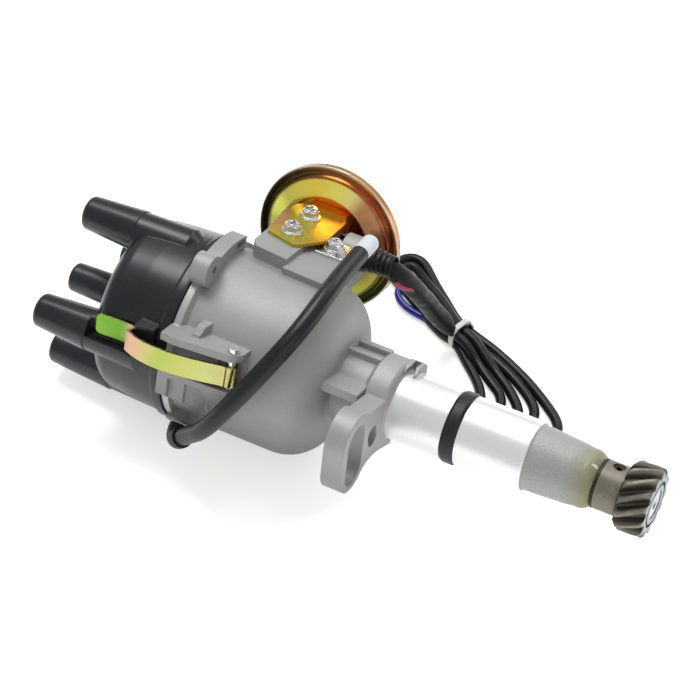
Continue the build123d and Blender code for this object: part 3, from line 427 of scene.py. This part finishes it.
def make_bracket():
    m = Mat("chromate_bracket", (200, 178, 80), 0.26, 0.78)
    x, y, z = m.casting_xyz()
    wob = m.noise(70.0, 3.0, 0.55)
    t = m.math("ADD", m.math("MULTIPLY", m.math("ADD", x, 82.0), 1 / 29.0), m.map(wob, 0.3, 0.7, -0.2, 0.2))
    c = m.ramp(t, [(0.0, (200, 150, 96)), (0.25, (200, 170, 70)), (0.5, (178, 176, 60)), (0.72, (204, 166, 52)), (0.9, (222, 150, 44)), (1.0, (228, 130, 54))])
    c = m.mix(m.map(m.math("ADD", y, m.map(wob, 0.3, 0.7, -2.0, 2.0)), 46.0, 53.0), c, (255, 176, 36))
    c = m.mix(m.map(m.math("ADD", m.math("ADD", y, x), 0.0), -8.0, 0.0), c, (238, 92, 32))
    m.color(c)
    m.rough(m.map(wob, 0.3, 0.7, 0.24, 0.36))
    m.bump(m.noise(420.0, 2.0, 0.5), 0.06, 0.0002, m.soft_normal(0.0004))
    return m.m


def make_clip():
    m = Mat("chromate_clip", (190, 190, 110), 0.26, 1.0)
    x, y, z = m.casting_xyz()
    wob = m.noise(60.0, 2.0, 0.5)
    t = m.math("ADD", m.math("MULTIPLY", m.math("ADD", x, 123.4), 1 / 64.4), m.map(wob, 0.3, 0.7, -0.03, 0.03))
    c = m.ramp(t, [(0.0, (116, 160, 60)), (0.19, (104, 152, 56)), (0.235, (134, 156, 84)), (0.27, (186, 148, 126)), (0.35, (188, 158, 124)),
                   (0.44, (180, 172, 112)), (0.52, (162, 176, 88)), (0.7, (180, 184, 104)), (0.86, (186, 188, 120)), (1.0, (176, 170, 112))])
    m.color(c)
    m.rough(m.map(wob, 0.3, 0.7, 0.22, 0.34))
    m.bump(m.noise(500.0, 2.0, 0.5), 0.05, 0.0002, m.soft_normal(0.0003))
    return m.m


MATS = {
    "casting": make_casting(),
    "bronze": make_steel("bronze", (170, 132, 84), (190, 150, 98), 0.4),
    "black_rubber": make_rubber("seal_rubber", (20, 21, 22), 0.42, 0.35),
    "hose_rubber": make_rubber("hose_rubber", (17, 18, 20), 0.36, 0.36),
    "steel_shaft": make_steel("ground_steel", (176, 176, 178), (196, 196, 198), 0.28),
    "steel_bright": make_steel("plated_steel", (196, 197, 200), (216, 216, 218), 0.26),
    "steel_dark": make_steel("dark_steel", (72, 66, 60), (96, 86, 78), 0.38),
    "gear_steel": make_gear(),
    "rotor_plastic": make_rubber("rotor_plastic", (36, 36, 38), 0.5),
    "brass": make_steel("brass", (200, 164, 96), (214, 184, 120), 0.3),
    "zinc_screw": make_steel("nickel_plate", (220, 222, 224), (240, 241, 243), 0.16, bevel=0.0004),
    "chromate_plate": make_can(),
    "chromate_clip": make_clip(),
    "cap_plastic": make_cap(),
    "carbon": make_rubber("carbon", (40, 40, 42), 0.6),
    "fitting_metal": make_rubber("fitting_plastic", (196, 200, 203), 0.45, 0.4, 1.06),
    "lead_vinyl": make_rubber("lead_vinyl", (9, 10, 11), 0.36, 0.28),
    "tie_nylon": make_rubber("tie_nylon", (196, 199, 198), 0.4, 0.4, 1.06),
    "connector_plastic": make_rubber("connector_plastic", (30, 30, 32), 0.42),
}
RED = make_rubber("insulation_red", (178, 22, 62), 0.3, 0.45, 1.1)
BLUE = make_rubber("insulation_blue", (26, 18, 128), 0.3, 0.45, 1.1)
SLEEVING = make_rubber("soft_sleeving", (11, 12, 13), 0.5, 0.26)
BRACKET = make_bracket()
WASHER = make_steel("oiled_washer", (46, 45, 40), (60, 58, 50), 0.45, 0.7)
for s in frame["record"]["subparts"]:
    o = nodes[s["node"]]
    o.data.materials.clear()
    o.data.materials.append({"vacuum_bracket": BRACKET, "thrust_washer": WASHER}.get(s["node"], MATS[s["material_slot"]]))
for o in nodes.values():
    o.data.polygons.foreach_set("use_smooth", [True] * len(o.data.polygons))
    o.data.set_sharp_from_angle(angle=math.radians(32))

# ------------------------------------------------------------------ cords
HOSE = [(-77.69, -45.6, -16.08), (-71.62, -47.16, -8.81), (-65.4, -49.73, -1.19), (-59.0, -47.98, 8.15), (-52.4, -42.86, 18.65),
        (-46.4, -36.3, 27.81), (-41.2, -28.24, 35.81), (-37.6, -18.63, 40.95), (-35.8, -7.02, 43.91), (-35.5, 5.96, 44.71),
        (-35.8, 20.17, 42.97), (-36.0, 34.46, 39.92)]
GROM = (-42.5, 49.774, 21.496)


def nurbs(name, pts, radius, mat, res=6, bevel_res=5):
    cu = bpy.data.curves.new(name, "CURVE")
    cu.dimensions = "3D"
    sp = cu.splines.new("NURBS")
    sp.points.add(len(pts) - 1)
    for q, p in zip(sp.points, pts):
        q.co = (*P(*p), 1.0)
    sp.order_u = 3
    sp.use_endpoint_u = True
    sp.resolution_u = res
    cu.bevel_depth = radius * MM
    cu.bevel_resolution = bevel_res
    cu.use_fill_caps = True
    o = bpy.data.objects.new(name, cu)
    scene.collection.objects.link(o)
    cu.materials.append(mat)
    return o


hose = nurbs("hose_curve", HOSE, 3.9, MATS["hose_rubber"], 8, 8)
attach(hose, "housing")
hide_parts("breather_hose")


# The two-core lead: out of the grommet inside a soft sleeve, through the tie,
# folded back and forth on the surface, and into its plug.
LOW, HIGH, RUN = -37.6, -33.5, -38.7
LEAD = [
    # out of the grommet, inside the sleeve, down to the tie
    (-46.5, 49.77, 21.5), (-33.4, 49.77, 21.5), (-25.6, 53.4, 13.4), (-21.8, 58.6, 2.6), (-19.6, 64.4, -8.6), (-17.2, 69.0, -19.4),
    (-13.2, 72.2, -28.8), (-8.86, 73.2, HIGH), (-4.4, 72.0, -34.2), (0.0, 70.0, -35.4), (5.3, 66.6, -37.9), (11.0, 62.4, RUN),
    (16.4, 58.6, RUN), (21.8, 55.0, RUN), (25.2, 49.6, RUN),
    # first fold, under the shank, and back
    (24.6, 42.6, RUN), (28.4, 38.0, RUN), (33.8, 39.2, RUN), (35.4, 44.8, RUN), (32.6, 50.8, RUN), (27.9, 55.9, RUN), (21.8, 61.0, RUN),
    (15.2, 65.4, -38.6), (7.7, 69.8, -36.3), (0.6, 74.8, -34.3), (-7.6, 77.2, HIGH), (-14.6, 82.6, -34.6), (-23.4, 90.4, -35.6),
    (-32.2, 96.2, -36.6), (-38.6, 101.2, -37.8),
    # the inner loop beside the can
    (-42.4, 104.8, -38.6), (-46.6, 106.6, RUN), (-49.6, 103.6, RUN), (-48.8, 99.4, RUN), (-45.0, 97.8, RUN), (-41.0, 96.0, RUN), (-35.6, 92.3, RUN),
    (-29.6, 88.4, RUN), (-23.8, 84.6, RUN), (-18.2, 81.2, RUN), (-12.9, 78.6, -38.6), (-7.6, 77.2, LOW), (-1.0, 75.7, -38.6),
    (8.2, 73.0, RUN), (16.8, 69.4, RUN), (25.1, 65.0, RUN), (33.8, 59.2, RUN), (39.4, 53.6, RUN),
    # second fold, out past the nose
    (41.0, 46.8, RUN), (45.8, 42.2, RUN), (51.6, 43.4, RUN), (52.8, 48.4, RUN), (49.6, 52.9, RUN), (45.0, 56.7, RUN), (38.2, 61.6, RUN),
    (29.2, 67.3, RUN), (20.2, 71.9, RUN), (9.7, 76.7, RUN), (1.4, 79.5, -38.8), (-6.3, 81.2, LOW), (-13.8, 85.2, -38.6), (-22.2, 92.6, RUN),
    (-30.0, 98.9, RUN), (-36.4, 104.8, RUN), (-41.4, 109.6, RUN),
    # the outer loop
    (-46.8, 111.6, RUN), (-51.8, 109.0, RUN), (-53.8, 103.2, RUN), (-52.8, 97.6, RUN), (-48.6, 94.4, RUN), (-43.6, 91.8, RUN),
    (-37.8, 88.2, RUN), (-31.8, 84.3, RUN), (-26.0, 80.5, RUN), (-20.4, 77.3, RUN), (-14.6, 74.5, -38.8), (-8.86, 72.9, LOW),
    (-4.6, 70.2, -38.6), (0.5, 65.3, RUN), (7.6, 59.2, RUN), (13.4, 53.0, RUN),
    # and the tail into its plug
    (16.8, 46.0, RUN), (17.0, 39.4, RUN), (15.8, 33.0, RUN), (18.4, 28.4, -38.6), (24.0, 27.4, -37.8)]
lead = nurbs("lead_curve", LEAD, 2.3, MATS["lead_vinyl"], 5, 4)


def along(name, pts, res=8):
    """points of the smooth line through a route, in metres"""
    cu = bpy.data.curves.new(name, "CURVE")
    cu.dimensions = "3D"
    sp = cu.splines.new("NURBS")
    sp.points.add(len(pts) - 1)
    for q, p in zip(sp.points, pts):
        q.co = (*P(*p), 1.0)
    sp.order_u = 3
    sp.use_endpoint_u = True
    sp.resolution_u = res
    o = bpy.data.objects.new(name, cu)
    scene.collection.objects.link(o)
    me = bpy.data.meshes.new_from_object(o)
    out = [v.co.copy() for v in me.vertices]
    bpy.data.meshes.remove(me)
    bpy.data.objects.remove(o)
    bpy.data.curves.remove(cu)
    return out


def mesh_object(name, bm, mat, smooth=True, angle=35):
    me = bpy.data.meshes.new(name)
    bmesh.ops.recalc_face_normals(bm, faces=bm.faces)
    bm.to_mesh(me)
    bm.free()
    o = bpy.data.objects.new(name, me)
    scene.collection.objects.link(o)
    me.materials.append(mat)
    if smooth:
        me.polygons.foreach_set("use_smooth", [True] * len(me.polygons))
        me.set_sharp_from_angle(angle=math.radians(angle))
    return o


def tube(name, path, radius, mat, seg=24):
    """skin round a line; radius(t, angle) in mm, t from 0 to 1 along it"""
    bm = bmesh.new()
    n = len(path)
    up = Vector((0.0, 0.0, 1.0))
    rings = []
    side = None
    for k, p in enumerate(path):
        d = (path[min(k + 1, n - 1)] - path[max(k - 1, 0)]).normalized()
        if side is None:
            side = d.cross(up).normalized()
        side = (side - d * side.dot(d)).normalized()
        other = d.cross(side)
        t = k / (n - 1)
        ring = []
        for j in range(seg):
            an = 2 * math.pi * j / seg
            rad = radius(t, an) * MM
            ring.append(bm.verts.new(p + (side * math.cos(an) + other * math.sin(an)) * rad))
        rings.append(ring)
    for a_, b_ in zip(rings, rings[1:]):
        for j in range(seg):
            bm.faces.new((a_[j], a_[(j + 1) % seg], b_[(j + 1) % seg], b_[j]))
    # turned in at both ends, so that the wall shows
    for ring, q, sgn in ((rings[0], path[0], 1), (rings[-1], path[-1], -1)):
        d = (path[1] - path[0]).normalized() if sgn > 0 else (path[-1] - path[-2]).normalized()
        last = ring
        for f, depth in ((0.80, 0.0), (0.74, 1.2), (0.72, 3.0)):
            inner = [bm.verts.new(q + (v.co - q) * f + d * (sgn * depth * MM)) for v in ring]
            for j in range(seg):
                bm.faces.new((last[j], last[(j + 1) % seg], inner[(j + 1) % seg], inner[j]))
            last = inner
    return mesh_object(name, bm, mat, angle=60)


SLEEVE = [(-46.5, 49.77, 21.5), (-33.4, 49.77, 21.5), (-25.6, 53.4, 13.4), (-21.8, 58.6, 2.6), (-19.6, 64.4, -8.6), (-17.2, 69.0, -19.4),
          (-12.9, 72.2, -28.0), (-11.2, 72.9, -31.2)]


def sleeve_r(t, an):
    """soft sleeving: shallow crumples, drawn in towards the tie"""
    body = 4.4 - 1.5 * max(0.0, (t - 0.84) / 0.16) ** 1.4
    crumple = 0.16 * math.sin(31.0 * t + 1.7 * math.sin(an)) * math.sin(2 * an + 5.0 * t) + 0.09 * math.sin(67.0 * t + 2.0 * an)
    return body + crumple * (0.35 + 0.65 * math.sin(math.pi * min(1.0, t * 1.05)))


sleeve = tube("soft_sleeve", along("sleeve_line", SLEEVE, 12), sleeve_r, SLEEVING, 28)
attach(sleeve, "housing")
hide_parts("harness_sleeve")


def lathe(name, prof, origin, axis, mat, seg=48, angle=30):
    """profile of (along, radius) in mm turned round an axis through origin"""
    ax = Vector(axis).normalized()
    e1 = ax.orthogonal().normalized()
    e2 = ax.cross(e1)
    o = P(*origin)
    bm = bmesh.new()
    rings = []
    for u, rad in prof:
        rings.append([bm.verts.new(o + ax * (u * MM) + (e1 * math.cos(2 * math.pi * j / seg) + e2 * math.sin(2 * math.pi * j / seg)) * (rad * MM))
                      for j in range(seg)])
    for a_, b_ in zip(rings, rings[1:] + rings[:1]):
        for j in range(seg):
            bm.faces.new((a_[j], a_[(j + 1) % seg], b_[(j + 1) % seg], b_[j]))
    return mesh_object(name, bm, mat, angle=angle)


# ribbed, tapered grommet where the sleeve leaves the bowl
gp = [(-5.5, 4.45), (-5.5, 5.6), (0.0, 5.6), (0.0, 6.4), (0.3, 6.6), (1.9, 6.6), (2.2, 6.4)]
for k in range(5):
    u0, top = 2.6 + 2.3 * k, 6.0 - 0.27 * k
    gp += [(u0, top - 0.7), (u0 + 0.35, top), (u0 + 1.35, top - 0.06), (u0 + 1.7, top - 0.75)]
gp += [(14.4, 4.75), (14.7, 4.45)]
grommet = lathe("lead_grommet", gp, (-42.5, 49.774, 21.496), (1, 0, 0), MATS["black_rubber"])
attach(grommet, "housing")
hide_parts("harness_grommet")

# narrow tie: a band drawn round the six strands, its head low on the far side
TC, TU, TV = Vector((-7.6, 77.2, 0.0)), Vector((0.954, -0.3, 0.0)), Vector((0.3, 0.954, 0.0))


def rounded(poly, rad, n=6):
    out = []
    for k, p in enumerate(poly):
        p = Vector(p)
        a_, b_ = Vector(poly[k - 1]) - p, Vector(poly[(k + 1) % len(poly)]) - p
        half = a_.angle(b_) / 2
        t = min(rad / math.tan(half), 0.45 * a_.length, 0.45 * b_.length)
        q0, q1 = p + a_.normalized() * t, p + b_.normalized() * t
        for i in range(n + 1):
            f = i / n
            out.append(q0 * (1 - f) ** 2 + p * (2 * f * (1 - f)) + q1 * f ** 2)
    return out


bm = bmesh.new()
line = rounded([(-6.2, -40.9), (6.2, -40.9), (6.5, -36.4), (3.4, -30.2), (-4.2, -30.0), (-6.7, -34.2)], 2.6)
mid = Vector((0.0, -36.6))
rings = []
for p in line:
    out_ = (p - mid).normalized()
    row = []
    for u, th in ((-1.25, 0.0), (-1.25, 0.75), (-1.05, 0.95), (1.05, 0.95), (1.25, 0.75), (1.25, 0.0)):
        q = p + out_ * (th - 0.15)
        row.append(bm.verts.new((TC + TU * u + TV * q.x + Vector((0, 0, max(q.y, -41.0)))) * MM))
    rings.append(row)
for a_, b_ in zip(rings, rings[1:] + rings[:1]):
    for j in range(6):
        bm.faces.new((a_[j], a_[(j + 1) % 6], b_[(j + 1) % 6], b_[j]))


def add_box(bm, c, size, bevel):
    ret = bmesh.ops.create_cube(bm, size=1.0)
    vs = ret["verts"]
    for v in vs:
        q = Vector((v.co.x * size[0], v.co.y * size[1], v.co.z * size[2]))
        v.co = (TC + TU * (c[0] + q.x) + TV * (c[1] + q.y) + Vector((0, 0, c[2] + q.z))) * MM
    es = {e for v in vs for e in v.link_edges}
    bmesh.ops.bevel(bm, geom=list(es), offset=bevel * MM, segments=2, affect="EDGES")


add_box(bm, (0.0, 6.6, -39.9), (3.0, 1.6, 2.0), 0.3)          # head
add_box(bm, (0.0, 7.5, -40.1), (2.0, 0.8, 0.8), 0.15)         # cut end of the strap
add_box(bm, (0.0, 6.6, -38.8), (1.6, 0.7, 0.4), 0.1)          # pawl
tie = mesh_object("lead_tie", bm, MATS["tie_nylon"], angle=40)
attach(tie, "housing")
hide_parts("harness_tie")

# the two insulated cores show where the sheath is opened beside the sleeve
blue = nurbs("core_blue", [(-41.7, 92.5, -35.5), (-44.3, 90.8, -36.4), (-44.5, 87.6, -37.4), (-42.3, 84.7, -38.2), (-38.2, 82.6, -38.8),
                           (-33.5, 81.2, -39.0), (-29.2, 80.7, -39.0), (-24.8, 79.8, -39.2)], 1.7, BLUE, 6, 4)
red = nurbs("core_red", [(-26.6, 49.2, 14.5), (-25.3, 49.5, 12.4), (-23.6, 51.0, 10.5), (-22.0, 52.5, 9.3), (-20.7, 54.7, 7.3), (-20.1, 58.5, 2.7)], 1.25, RED, 6, 4)
for o in (blue, red):
    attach(o, "housing")
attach(lead, "housing")
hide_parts("harness_hank", "harness_tail")

# ------------------------------------------------------------------ wound springs


def helix(name, a_, b_, radius, wire, turns, mat, closed=1.0, seg=16, hooks=False):
    """wound spring between two points of the casting frame (mm), end turns closed up"""
    a_, b_ = W(*a_), W(*b_)
    u = b_ - a_
    length = u.length / MM
    u.normalize()
    e1 = u.orthogonal().normalized()
    e2 = u.cross(e1)
    n = int(turns * seg)
    pts = []
    for k in range(n + 1):
        w_ = turns * k / n
        lo_, hi_ = wire / 2 + closed * wire, length - wire / 2 - closed * wire
        if w_ < closed:
            h = wire / 2 + w_ * wire
        elif w_ > turns - closed:
            h = length - wire / 2 - (turns - w_) * wire
        else:
            h = lo_ + (hi_ - lo_) * (w_ - closed) / (turns - 2 * closed)
        an = 2 * math.pi * w_
        pts.append(a_ + u * (h * MM) + (e1 * math.cos(an) + e2 * math.sin(an)) * (radius * MM))
    cu = bpy.data.curves.new(name, "CURVE")
    cu.dimensions = "3D"
    sp = cu.splines.new("POLY")
    sp.points.add(len(pts) - 1)
    for q, p in zip(sp.points, pts):
        q.co = (*p, 1.0)
    cu.bevel_depth = wire / 2 * MM
    cu.bevel_resolution = 2
    cu.use_fill_caps = True
    tmp = bpy.data.objects.new(name + "_line", cu)
    scene.collection.objects.link(tmp)
    me = bpy.data.meshes.new_from_object(tmp)
    bpy.data.objects.remove(tmp)
    bpy.data.curves.remove(cu)
    me.name = name
    me.materials.clear()
    me.materials.append(mat)
    me.polygons.foreach_set("use_smooth", [True] * len(me.polygons))
    o = bpy.data.objects.new(name, me)
    scene.collection.objects.link(o)
    return o


SPRING = make_steel("spring_wire", (150, 150, 152), (176, 176, 178), 0.3)
vac_spring = helix("vacuum_spring", (-66.0, 61.5, 30.0), (-66.0, 75.0, 30.0), 7.4, 1.6, 5.0, SPRING)
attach(vac_spring, "housing")
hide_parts("return_spring")
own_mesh(vac_spring)
brush_sp = helix("brush_coil", (-119.0, 0.0, 0.0), (-113.1, 0.0, 0.0), 2.55, 0.55, 6.5, SPRING)
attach(brush_sp, "housing")
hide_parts("brush_spring")
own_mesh(brush_sp)
gov = []
for sgn in (1, -1):
    a_, b_ = Vector((-51.7, sgn * 8.0, sgn * 14.6)), Vector((-51.7, -sgn * 6.4, sgn * 9.2))
    u_ = (b_ - a_).normalized()
    gov.append(helix("governor_coil_%s" % ("a" if sgn > 0 else "b"), tuple(a_ + u_ * 1.5), tuple(b_ - u_ * 1.5), 1.0, 0.5, 15.0, SPRING, closed=2.0, seg=12))
for o in gov:
    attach(o, "drive_shaft")
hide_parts("governor_springs")

# ------------------------------------------------------------------ floor, light
bpy.ops.mesh.primitive_plane_add(size=6.0, location=(0, 0, cad_lo.z - 0.0002))
floor = bpy.context.object
floor.name = "floor"
fm = Mat("floor", (250, 250, 250), 0.9, 0.0)
fm.bs.inputs["Emission Color"].default_value = (1, 1, 1, 1)
fm.bs.inputs["Emission Strength"].default_value = 0.5
fn = fm.noise(3.0, 2.0)
fm.color(fm.mix(fn, (248, 248, 248), (252, 252, 252)))
floor.data.materials.append(fm.m)

world = bpy.data.worlds.new("studio")
scene.world = world
world.use_nodes = True
bg = world.node_tree.nodes["Background"]
bg.inputs["Color"].default_value = (1, 1, 1, 1)
bg.inputs["Strength"].default_value = 0.5


def area(name, loc, target, size, power, color=(1, 1, 1)):
    ld = bpy.data.lights.new(name, "AREA")
    ld.shape = "RECTANGLE"
    ld.size, ld.size_y = size
    ld.energy = power
    ld.color = color
    o = bpy.data.objects.new(name, ld)
    scene.collection.objects.link(o)
    o.location = loc
    o.rotation_mode = "QUATERNION"
    o.rotation_quaternion = (Vector(target) - Vector(loc)).to_track_quat("-Z", "Y")
    return o


area("key", (-0.45, 0.35, 1.15), (-0.03, 0.0, 0.0), (0.6, 0.6), 11.0)
area("fill", (0.9, -0.7, 0.7), (0.0, 0.0, 0.0), (0.8, 0.8), 2.0)
area("back", (0.25, 1.1, 0.8), (0.0, 0.0, 0.0), (1.1, 0.4), 5.0)
